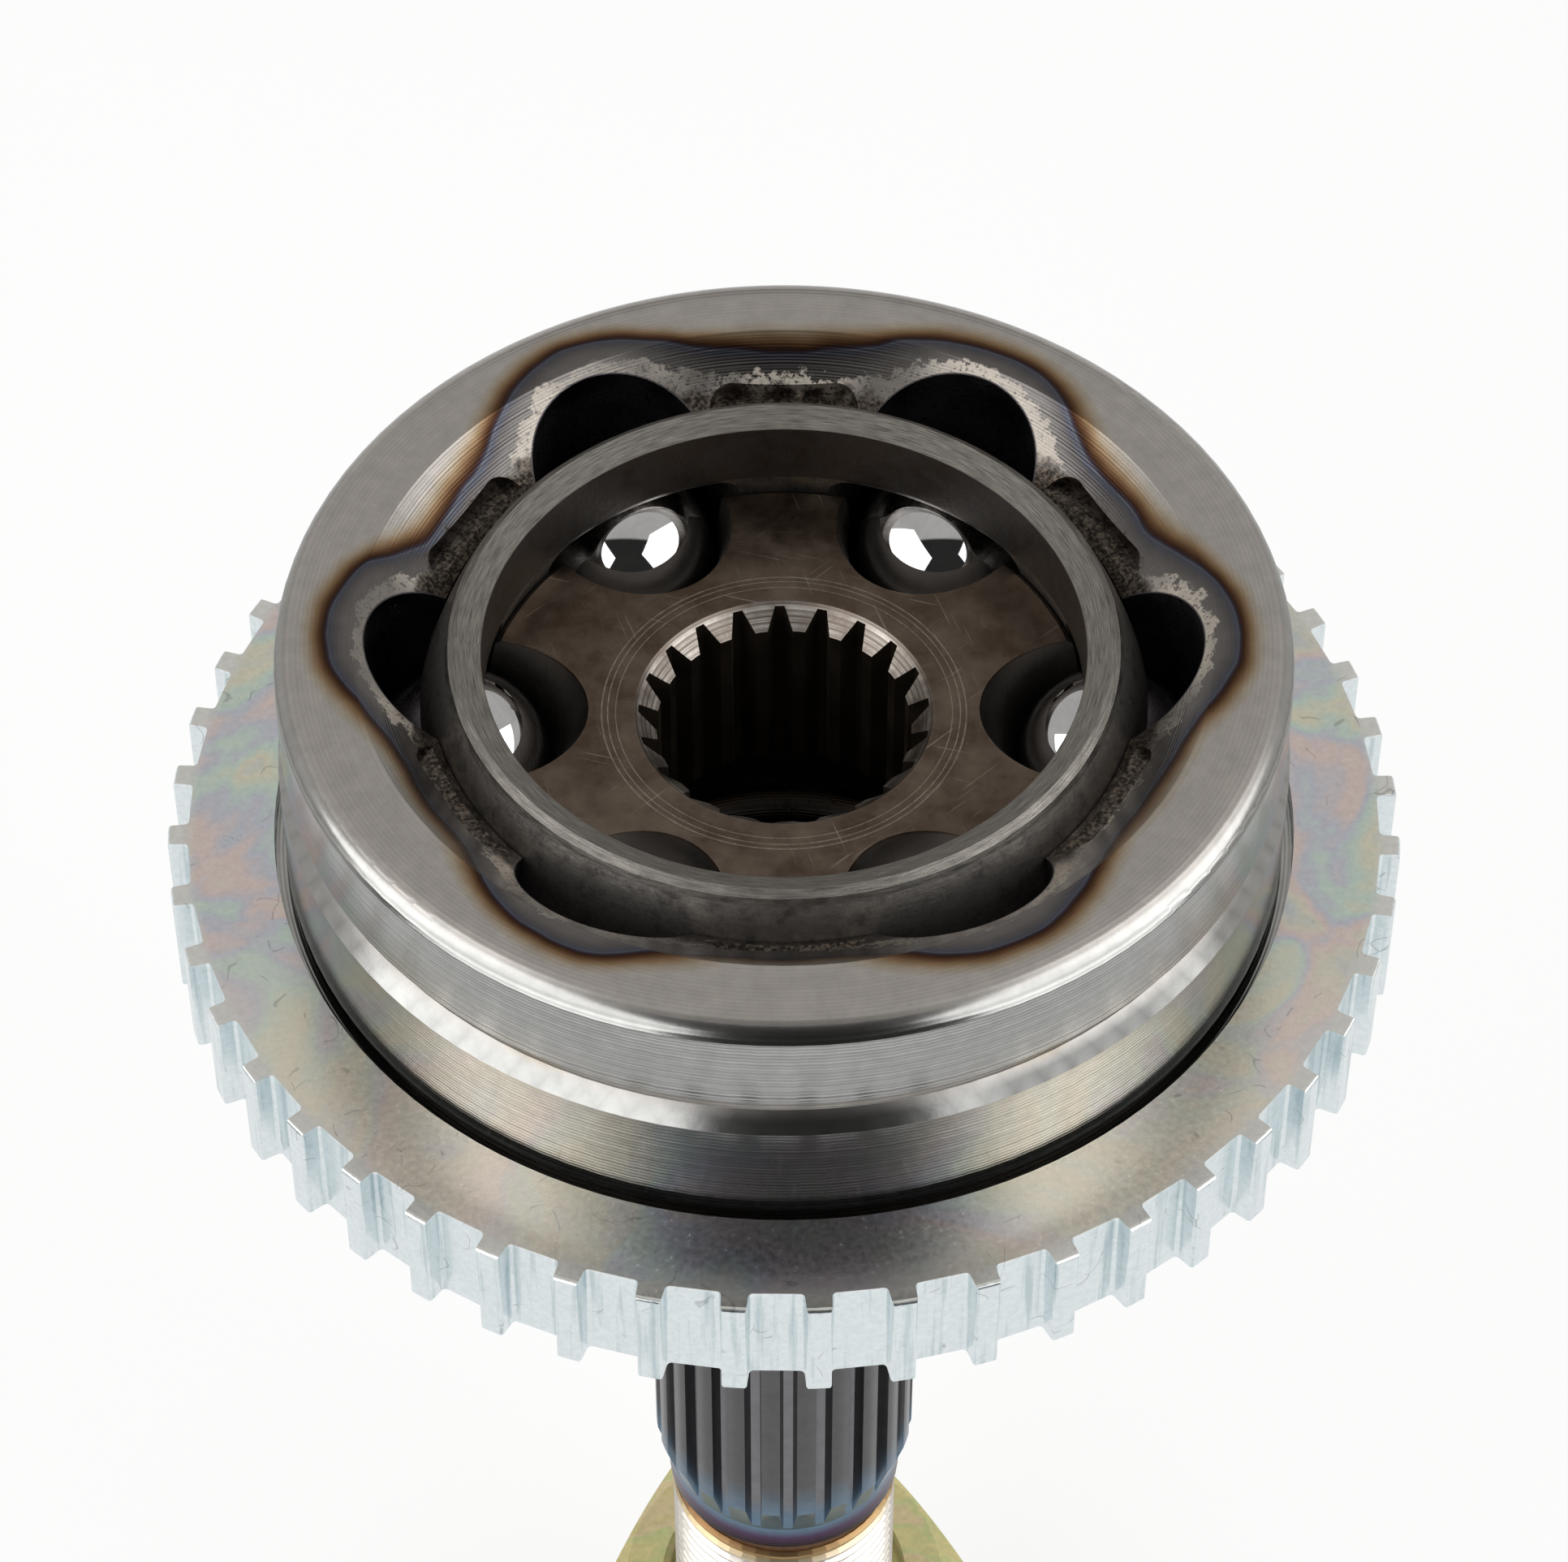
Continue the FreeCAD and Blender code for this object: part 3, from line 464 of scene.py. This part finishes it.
def zincPlate():
    material, tree = newMaterial("brightZincPlate")
    place = placeInMillimetres(tree)
    axes, radius = axesAndRadius(tree, place)
    height = axes.outputs["Z"]
    filmNoise = addNode(tree, "TexNoise", {"Vector": place, **ring["filmNoise"]})
    film = addNode(tree, "ValToRGB", {"Fac": filmNoise})
    setStops(film, ring["film"])

    # The skirt's cut faces keep streaks from the press, which run down the teeth
    streakPlace = addNode(tree, "VectorMath", {0: place, 1: ring["streakStretch"]},
                          operation="MULTIPLY")
    streaks = addNode(tree, "TexNoise", {"Vector": streakPlace, **ring["streakNoise"]})
    streakShare = addNode(tree, "MapRange", {"Value": streaks, **ring["streakEdge"]})
    skirt = addNode(tree, "MixRGB", {"Fac": streakShare, **ring["skirt"]})

    # Painted light, warm and lighter, on the two flats towards -Y, and painted shade, cool and
    # darker, between them
    forward = axes.outputs["Y"]
    aside = addNode(tree, "Math", {0: axes.outputs["X"]}, operation="ABSOLUTE")
    sheenShare = bothShare(tree, forward, ring["sheenFront"], aside, ring["sheenSides"])
    sheened = addNode(tree, "MixRGB", {"Fac": sheenShare, "Color1": film,
                                      "Color2": ring["paintedSheenFilm"]})
    filmShadeShare = bothShare(tree, forward, ring["shadeFront"], aside, ring["shadeMiddle"])
    filmShaded = addNode(tree, "MixRGB", {"Fac": filmShadeShare, "Color1": sheened,
                                      "Color2": ring["paintedShadeFilm"]})
    onTop = addNode(tree, "MapRange", {"Value": height, **ring["onTop"]})
    onTooth = addNode(tree, "MapRange", {"Value": radius, **ring["onTooth"]})
    topFace = addNode(tree, "MixRGB", {"Fac": onTooth, "Color1": filmShaded,
                                       "Color2": ring["toothTop"]})
    plated = addNode(tree, "MixRGB", {"Fac": onTop, "Color1": skirt, "Color2": topFace})
    fine = addNode(tree, "TexNoise", {"Vector": place, **ring["fineNoise"]})
    tone = addNode(tree, "MapRange", {"Value": fine, **ring["fineTone"]})
    toned = addNode(tree, "VectorMath", {0: plated, "Scale": tone}, operation="SCALE")

    # A painted highlight along the skirt's upper edge, where a rolled burr catches the light
    burrEdge = bothShare(tree, height, ring["burrHeight"], radius, ring["burrRadius"])
    burrBreaks = addNode(tree, "MapRange", {"Value": fine, **ring["burrBreaks"]})
    burrSide = addNode(tree, "Math", {0: burrEdge, 1: burrBreaks}, operation="MULTIPLY")
    notTop = addNode(tree, "Math", {0: 1.0, 1: onTop}, operation="SUBTRACT")
    burrHighlightShare = addNode(tree, "Math", {0: burrSide, 1: notTop}, operation="MULTIPLY")
    burrHighlighted = addNode(tree, "MixRGB", {"Fac": burrHighlightShare, "Color1": toned,
                                      "Color2": ring["burrHighlight"]})

    # Hairline scratches, kept to a few patches, and small dark nicks. Real hairlines are too fine
    # to show, so these are drawn about 0.15 mm wide.
    wander = addNode(tree, "TexNoise", {"Vector": place, **ring["wanderNoise"]})
    bent = addNode(tree, "VectorMath", {0: wander.outputs["Color"], 1: ring["wander"], 2: place},
                   operation="MULTIPLY_ADD")
    cells = addNode(tree, "TexVoronoi", {"Vector": bent, **ring["hairCells"]},
                    feature="DISTANCE_TO_EDGE")
    hairs = addNode(tree, "MapRange", {"Value": cells.outputs["Distance"], **ring["hairEdge"]})
    breaks = addNode(tree, "TexNoise", {"Vector": place, **ring["breakNoise"]})
    patches = addNode(tree, "MapRange", {"Value": breaks, **ring["breakEdge"]})
    hairShare = addNode(tree, "Math", {0: hairs, 1: patches}, operation="MULTIPLY")
    nickCells = addNode(tree, "TexVoronoi", {"Vector": bent, **ring["nickCells"]})
    nicks = addNode(tree, "MapRange", {"Value": nickCells.outputs["Distance"],
                                       **ring["nickEdge"]})
    marks = addNode(tree, "Math", {0: hairShare, 1: nicks}, operation="MAXIMUM")
    faint = addNode(tree, "Math", {0: marks, 1: ring["markDepth"]}, operation="MULTIPLY")
    marked = addNode(tree, "MixRGB", {"Fac": faint, "Color1": burrHighlighted, "Color2": ring["mark"]})
    roughness = addNode(tree, "MapRange", {"Value": fine, **ring["roughness"]})
    relief = addNode(tree, "Math", {0: fine, 1: faint}, operation="SUBTRACT")
    bump = addNode(tree, "Bump", {"Height": relief, **ring["bump"]})
    finishMetal(tree, {"Base Color": marked, "Roughness": roughness, "Normal": bump})
    return material


# Case-hardened cage: ground bright rim, dark mottled sphere with a rougher hand
cage = {
    "mottleNoise": {"Scale": 0.5, "Detail": 9.0, "Roughness": 0.68},
    "mottleEdge": {"From Min": 0.36, "From Max": 0.64},
    "sphere": {"Color1": "#625e5b", "Color2": "#b6b0a9"},
    "inside": {"Color1": "#625e5b", "Color2": "#6e665e"},
    "toInside": {"From Min": 27.45, "From Max": 27.38},

    "grindAround": 10.0,  # how finely the grinding marks vary, per radian and per mm
    "grindAcross": 8.0,
    "grindNoise": {"Scale": 1.0, "Detail": 5.0, "Roughness": 0.62},
    "grindEdge": {"From Min": 0.25, "From Max": 0.68},
    "rim": {"Color1": "#4a4745", "Color2": "#949089"},
    "onRim": {"From Min": 15.3, "From Max": 15.5},

    "roughness": {"From Min": 0.35, "From Max": 0.65, "To Min": 0.48, "To Max": 0.34},
    "grindBump": {"Strength": 0.2, "Distance": 0.0001},
    "mottleBump": {"Strength": 0.32, "Distance": 0.0002},
}


def groundCageSteel():
    material, tree = newMaterial("groundCageSteel")
    place = placeInMillimetres(tree)
    axes, radius = axesAndRadius(tree, place)
    mottle = addNode(tree, "TexNoise", {"Vector": place, **cage["mottleNoise"]})
    mottleShare = addNode(tree, "MapRange", {"Value": mottle, **cage["mottleEdge"]})
    sphere = addNode(tree, "MixRGB", {"Fac": mottleShare, **cage["sphere"]})
    around = addNode(tree, "Math", {0: aroundAxis(tree, axes), 1: cage["grindAround"]},
                     operation="MULTIPLY")
    across = addNode(tree, "Math", {0: radius, 1: cage["grindAcross"]}, operation="MULTIPLY")
    ground = addNode(tree, "CombineXYZ", {"X": across, "Y": around})
    rings = addNode(tree, "TexNoise", {"Vector": ground, **cage["grindNoise"]})
    rimShare = addNode(tree, "MapRange", {"Value": rings, **cage["grindEdge"]})
    rim = addNode(tree, "MixRGB", {"Fac": rimShare, **cage["rim"]})
    onRim = addNode(tree, "MapRange", {"Value": axes.outputs["Z"], **cage["onRim"]})
    inside = addNode(tree, "MapRange", {"Value": radius, **cage["toInside"]})
    rimmed = addNode(tree, "MixRGB", {"Fac": onRim, "Color1": sphere, "Color2": rim})
    wall = addNode(tree, "MixRGB", {"Fac": mottleShare, **cage["inside"]})
    base = addNode(tree, "MixRGB", {"Fac": inside, "Color1": rimmed, "Color2": wall})
    roughness = addNode(tree, "MapRange", {"Value": mottle, **cage["roughness"]})
    turning = addNode(tree, "Bump", {"Height": rings, **cage["grindBump"]})
    skin = addNode(tree, "Bump", {"Height": mottle, "Normal": turning, **cage["mottleBump"]})
    finishMetal(tree, {"Base Color": base, "Roughness": roughness, "Normal": skin})
    return material


# Inner race: blackened by hardening, its face faintly turned and scratched, bore left dark
race = {
    "cloudNoise": {"Scale": 0.22, "Detail": 6.0, "Roughness": 0.6},
    "cloudEdge": {"From Min": 0.35, "From Max": 0.65},
    "face": {"Color1": "#4d4036", "Color2": "#6b5f54"},
    "tracks": "#6a6561",
    "onFace": {"From Min": 6.4, "From Max": 6.55},

    "ringNoise": {"Scale": 3.2, "Detail": 3.0, "Roughness": 0.7},
    "rubEdge": {"From Min": 0.56, "From Max": 0.68},
    "rubFrom": {"From Min": 14.6, "From Max": 15.2},
    "rubTo": {"From Min": 18.2, "From Max": 16.6},
    "speckleNoise": {"Scale": 1.6, "Detail": 5.0, "Roughness": 0.7},
    "rubPatches": {"From Min": 0.42, "From Max": 0.62},
    "rubDepth": {1: 0.4, 2: 0.3},
    "scratch": "#b3aca3",
    "scratchTurns": (0.3, 1.25, 2.4),  # radians
    "scratchStretch": (0.09, 2.6, 0),
    "scratchNoise": {"Scale": 1.0, "Detail": 2.0},
    "scratchEdge": {"From Min": 0.68, "From Max": 0.74, "To Max": 0.3},

    "bore": "#6d6357",
    "toBore": {"From Min": 13.75, "From Max": 13.65},
    "chamfer": {"Color1": "#6a6058", "Color2": "#cfc9c1"},
    "chamferRings": {"From Min": 0.35, "From Max": 0.65},
    "onChamfer": {"From Min": -7.17, "From Max": -7.09},  # height less radius, which is -7.05 on it
    "roughness": {"From Min": 0.35, "From Max": 0.65, "To Min": 0.34, "To Max": 0.46},
    "ringBump": {"Strength": 0.1, "Distance": 0.0001},
    "speckleBump": {"Strength": 0.12, "Distance": 0.0001},
}


def blackenedRaceSteel():
    material, tree = newMaterial("blackenedRaceSteel")
    place = placeInMillimetres(tree)
    axes, radius = axesAndRadius(tree, place)
    height = axes.outputs["Z"]
    cloud = addNode(tree, "TexNoise", {"Vector": place, **race["cloudNoise"]})
    cloudShare = addNode(tree, "MapRange", {"Value": cloud, **race["cloudEdge"]})
    face = addNode(tree, "MixRGB", {"Fac": cloudShare, **race["face"]})

    # Bright rings where a collar rubbed, 15 to 17 mm from the axis
    rings = addNode(tree, "TexNoise", {"W": radius, **race["ringNoise"]}, noise_dimensions="1D")
    rubbed = addNode(tree, "MapRange", {"Value": rings, **race["rubEdge"]})
    speckle = addNode(tree, "TexNoise", {"Vector": place, **race["speckleNoise"]})
    patchy = addNode(tree, "MapRange", {"Value": speckle, **race["rubPatches"]})
    rubZone = bothShare(tree, radius, race["rubFrom"], radius, race["rubTo"])
    rubFaint = addNode(tree, "Math", {0: patchy, **race["rubDepth"]}, operation="MULTIPLY_ADD")
    rubLines = addNode(tree, "Math", {0: rubbed, 1: rubFaint}, operation="MULTIPLY")
    rub = addNode(tree, "Math", {0: rubZone, 1: rubLines}, operation="MULTIPLY")
    scratched = addNode(tree, "MixRGB", {"Fac": rub, "Color1": face, "Color2": race["scratch"]})

    # Handling scratches in three directions, drawn about 0.1 mm wide, coarser than real ones
    for turn in race["scratchTurns"]:
        turned = addNode(tree, "VectorRotate", {"Vector": place, "Angle": turn},
                         rotation_type="Z_AXIS")
        drawn = addNode(tree, "VectorMath", {0: turned, 1: race["scratchStretch"]},
                        operation="MULTIPLY")
        hair = addNode(tree, "TexNoise", {"Vector": drawn, **race["scratchNoise"]})
        hairShare = addNode(tree, "MapRange", {"Value": hair, **race["scratchEdge"]})
        scratched = addNode(tree, "MixRGB", {"Fac": hairShare, "Color1": scratched,
                                             "Color2": race["scratch"]})
    onFace = addNode(tree, "MapRange", {"Value": height, **race["onFace"]})
    outside = addNode(tree, "MixRGB", {"Fac": onFace, "Color1": race["tracks"],
                                       "Color2": scratched})

    # Speckled bright chamfer on the bore's teeth, and the dark bore below it
    ringed = addNode(tree, "MapRange", {"Value": rings, **race["chamferRings"]})
    chamferShare = addNode(tree, "Math", {0: ringed, 1: cloudShare}, operation="MULTIPLY")
    chamfer = addNode(tree, "MixRGB", {"Fac": chamferShare, **race["chamfer"]})
    upChamfer = addNode(tree, "Math", {0: height, 1: radius}, operation="SUBTRACT")
    onChamfer = addNode(tree, "MapRange", {"Value": upChamfer, **race["onChamfer"]})
    inBore = addNode(tree, "MapRange", {"Value": radius, **race["toBore"]})
    bore = addNode(tree, "MixRGB", {"Fac": onChamfer, "Color1": race["bore"],
                                    "Color2": chamfer})
    base = addNode(tree, "MixRGB", {"Fac": inBore, "Color1": outside, "Color2": bore})
    roughness = addNode(tree, "MapRange", {"Value": cloud, **race["roughness"]})
    turning = addNode(tree, "Bump", {"Height": rings, **race["ringBump"]})
    skin = addNode(tree, "Bump", {"Height": speckle, "Normal": turning, **race["speckleBump"]})
    finishMetal(tree, {"Base Color": base, "Roughness": roughness, "Normal": skin})
    return material


# Polished ball steel: a mirror, with the faint smears that oil leaves
ball = {
    "smearNoise": {"Scale": 0.35, "Detail": 5.0, "Distortion": 1.2},
    "roughness": {"From Min": 0.4, "From Max": 0.7, "To Min": 0.015, "To Max": 0.06},
    "tone": {"From Min": 0.35, "From Max": 0.7, "To Min": 0.56, "To Max": 0.47},
}


def polishedBallSteel():
    material, tree = newMaterial("polishedBallSteel")
    place = placeInMillimetres(tree)
    smear = addNode(tree, "TexNoise", {"Vector": place, **ball["smearNoise"]})
    roughness = addNode(tree, "MapRange", {"Value": smear, **ball["roughness"]})
    tone = addNode(tree, "MapRange", {"Value": smear, **ball["tone"]})
    base = addNode(tree, "CombineXYZ", {"X": tone, "Y": tone, "Z": tone})
    finishMetal(tree, {"Base Color": base, "Roughness": roughness})
    return material


# Yellow chromate on the nut: olive gold with green and pink in the film
nut = {
    "filmNoise": {"Scale": 0.14, "Detail": 4.0, "Distortion": 0.6},
    "film": [
        (0.3, "#e4d9a2"), (0.42, "#eadfa4"), (0.5, "#d6dca0"), (0.56, "#ecd9ae"),
        (0.66, "#ded397"),
    ],
    "fineNoise": {"Scale": 1.4, "Detail": 5.0},
    "fineTone": {"From Min": 0.3, "From Max": 0.7, "To Min": 0.9, "To Max": 1.05},
    "roughness": 0.36,
    "bump": {"Strength": 0.12, "Distance": 0.0001},
}


def yellowChromate():
    material, tree = newMaterial("yellowChromate")
    place = placeInMillimetres(tree)
    filmNoise = addNode(tree, "TexNoise", {"Vector": place, **nut["filmNoise"]})
    film = addNode(tree, "ValToRGB", {"Fac": filmNoise})
    setStops(film, nut["film"])
    fine = addNode(tree, "TexNoise", {"Vector": place, **nut["fineNoise"]})
    tone = addNode(tree, "MapRange", {"Value": fine, **nut["fineTone"]})
    base = addNode(tree, "VectorMath", {0: film, "Scale": tone}, operation="SCALE")
    bump = addNode(tree, "Bump", {"Height": fine, **nut["bump"]})
    finishMetal(tree, {"Base Color": base, "Roughness": nut["roughness"], "Normal": bump})
    return material


bellMaterial = hardenedSteel()
wear("outer_race", bellMaterial)
wear("tone_ring", zincPlate())
wear("cage", groundCageSteel())
wear("inner_race", blackenedRaceSteel())
ballMaterial = polishedBallSteel()
for number in range(1, 7):
    wear(f"ball_{number}", ballMaterial)
wear("hub_nut", yellowChromate())
print("materials on the pieces")

# The stub's thread: one 60 degree ridge wound down the stub, from the neck into the nut, in mm
thread = {
    "crest": 12.0,
    "foot": 11.46,
    "pitch": 1.5,
    "top": -114.6,
    "bottom": -138.6,
    "footHalf": 0.42,
    "crestHalf": 0.1,
    "weld": 0.001,
    "stepsPerTurn": 48,
}


def woundThread():
    turns = (thread["top"] - thread["bottom"]) / thread["pitch"]
    steps = round(turns * thread["stepsPerTurn"])
    build = bmesh.new()
    profile = [
        (thread["foot"], thread["footHalf"]), (thread["crest"], thread["crestHalf"]),
        (thread["crest"], -thread["crestHalf"]), (thread["foot"], -thread["footHalf"]),
    ]
    corners = [build.verts.new((r * mm, 0, (thread["top"] + z) * mm)) for r, z in profile]
    section = build.faces.new(corners)
    bmesh.ops.spin(build, geom=[section, *section.edges, *corners], cent=(0, 0, 0), axis=(0, 0, 1),
                   dvec=(0, 0, -thread["pitch"] * mm / thread["stepsPerTurn"]),
                   angle=turns * 2 * math.pi, steps=steps)
    bmesh.ops.remove_doubles(build, verts=build.verts, dist=thread["weld"] * mm)
    bmesh.ops.recalc_face_normals(build, faces=build.faces)
    mesh = bpy.data.meshes.new("stubThread")
    build.to_mesh(mesh)
    build.free()
    mesh.materials.append(bellMaterial)
    piece = bpy.data.objects.new("stubThread", mesh)
    bpy.context.collection.objects.link(piece)
    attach(piece, "outer_race")
    print("thread wound:", len(mesh.polygons), "faces")


woundThread()

# Studio: a white table, a panel of light on each side of the camera, and a grey wall and ceiling
# that end above the camera, with the dark of the room behind it. What the camera sees of the
# table is mostly self-lit, so that it stays pale, and what the metal mirrors is a little dimmer.
stage = {
    "floorHalf": 1.5,
    "floorColour": "#f4f4f4",
    "selfLit": 0.75,
    "glow": 1.05,
    "inReflections": 0.9,
}
white = (1, 1, 1, 1)
floorLevel = cadBox[0][2]
floorMesh = bpy.data.meshes.new("floor")
build = bmesh.new()
bmesh.ops.create_grid(build, x_segments=1, y_segments=1, size=stage["floorHalf"],
                      matrix=Matrix.Translation((0, 0, floorLevel)))
build.to_mesh(floorMesh)
build.free()
floor = bpy.data.objects.new("floor", floorMesh)
bpy.context.collection.objects.link(floor)

floorMaterial, floorTree = newMaterial("paleFloor")
paper = addNode(floorTree, "BsdfDiffuse", {"Color": stage["floorColour"]})
glow = addNode(floorTree, "Emission", {"Color": white, "Strength": stage["glow"]})
floorRays = addNode(floorTree, "LightPath")
dimmer = addNode(floorTree, "Emission", {"Color": white, "Strength": stage["inReflections"]})
seen = addNode(floorTree, "MixShader", {0: stage["selfLit"], 1: paper, 2: glow})
unseen = addNode(floorTree, "MixShader", {0: floorRays.outputs["Is Glossy Ray"], 1: paper,
                                          2: dimmer})
table = addNode(floorTree, "MixShader", {0: floorRays.outputs["Is Camera Ray"], 1: unseen,
                                         2: seen})
addNode(floorTree, "OutputMaterial", {"Surface": table})
floorMesh.materials.append(floorMaterial)

room = {
    "tint": (1, 0.985, 0.96, 1),
    "ceiling": 0.64,
    "dark": 0.035,
    "ceilingEdge": -0.48,  # Y over Z, of the direction in which the ceiling ends
    "edgeSoftness": 0.03,
    "backdrop": 1.0,
}
world = bpy.data.worlds.new("studio")
bpy.context.scene.world = world
world.use_nodes = True
worldTree = world.node_tree
worldTree.nodes.clear()
worldRays = addNode(worldTree, "LightPath")
towards = addNode(worldTree, "TexCoord")
split = addNode(worldTree, "SeparateXYZ", {0: towards.outputs["Generated"]})
pastEdge = addNode(worldTree, "Math", {0: split.outputs["Z"], 1: -room["ceilingEdge"],
                                       2: split.outputs["Y"]}, operation="MULTIPLY_ADD")
level = addNode(worldTree, "MapRange", {"Value": pastEdge, "From Min": -room["edgeSoftness"],
                                        "From Max": room["edgeSoftness"], "To Min": room["dark"],
                                        "To Max": room["ceiling"]})
backdrop = addNode(worldTree, "Background", {"Color": white, "Strength": room["backdrop"]})
walls = addNode(worldTree, "Background", {"Color": room["tint"], "Strength": level})
around = addNode(worldTree, "MixShader", {0: worldRays.outputs["Is Camera Ray"], 1: walls,
                                          2: backdrop})
addNode(worldTree, "OutputWorld", {"Surface": around})

# Each panel by its upper corner nearer the camera, its upper edge, and the edge that runs down
panels = {
    "rightPanel": {"corner": (0.66, -1.24, 1.22), "across": (0.35, 0.74, 0.43),
                   "down": (-0.26, 0.85, -1.26), "radiance": 2.3},
    "leftPanel": {"corner": (-0.43, -1.4, 1.17), "across": (-0.82, 1.15, 0.59),
                  "down": (-0.07, 0.56, -1.22), "radiance": 2.3},
}
for name, panel in panels.items():
    corner, across, down = (Vector(panel[key]) for key in ("corner", "across", "down"))
    middle = corner + (across + down) / 2
    facing = across.cross(down).normalized()
    if facing.dot(middle) < 0:  # a lamp shines along its own -Z, so +Z has to face away
        facing.negate()
    upright = facing.cross(across.normalized())
    lampData = bpy.data.lights.new(name, "AREA")
    lampData.shape = "RECTANGLE"
    lampData.size, lampData.size_y = across.length, down.length
    # An area lamp's radiance is its power over pi times its area
    lampData.energy = panel["radiance"] * math.pi * across.length * down.length
    lampObject = bpy.data.objects.new(name, lampData)
    turn = Matrix((across.normalized(), upright, facing)).transposed()
    lampObject.matrix_world = Matrix.Translation(middle) @ turn.to_4x4()
    bpy.context.collection.objects.link(lampObject)

bpy.context.scene.view_settings.view_transform = "Standard"
print("studio set")
